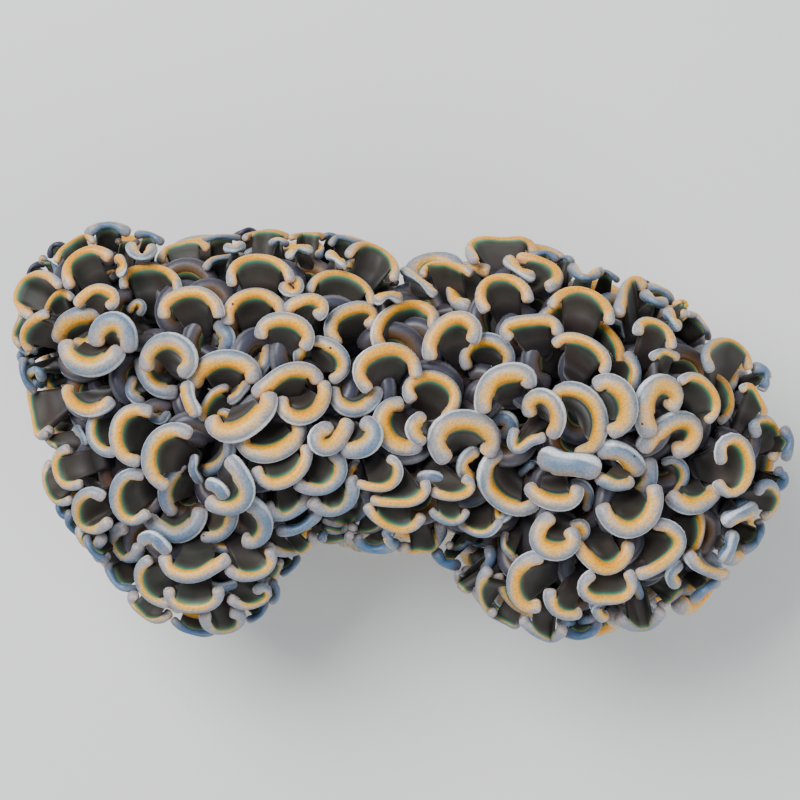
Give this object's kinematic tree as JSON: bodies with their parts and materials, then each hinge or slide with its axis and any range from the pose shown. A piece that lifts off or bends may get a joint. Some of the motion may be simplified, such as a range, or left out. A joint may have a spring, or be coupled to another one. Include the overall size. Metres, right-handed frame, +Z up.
{
  "type": "hammer coral",
  "caption": "Hammer coral colony with hammer-tipped tentacles in rounded crowns over a forked stony skeleton cut flat below.",
  "frame": {"origin": "middle of the flat cut under the foot", "axes": "+Z up out of the cut, +X along the colony's long side towards the single tall right lobe, +Y towards the straighter long side"},
  "size_m": [0.1708, 0.0922, 0.0776],
  "materials": {
    "stone": "dry porous aragonite, ridged lengthwise",
    "flesh": "moist translucent flesh, pale gold to blue grey, darker towards the stalks"
  },
  "bodies": {
    "root": {"foot": "stone", "limb_far_left": "stone", "limb_left": "stone", "limb_middle": "stone", "limb_right": "stone", "limb_lower_right": "stone", "polyp_upper_left": "flesh", "polyp_lower_left": "flesh", "polyp_bottom_left": "flesh", "polyp_top_left": "flesh", "polyp_left_centre": "flesh", "polyp_inner_left": "flesh", "polyp_middle": "flesh", "polyp_inner_right": "flesh", "polyp_right_centre": "flesh", "polyp_far_right": "flesh", "polyp_bottom_right": "flesh", "polyp_lower_right": "flesh"}
  },
  "joints": []
}
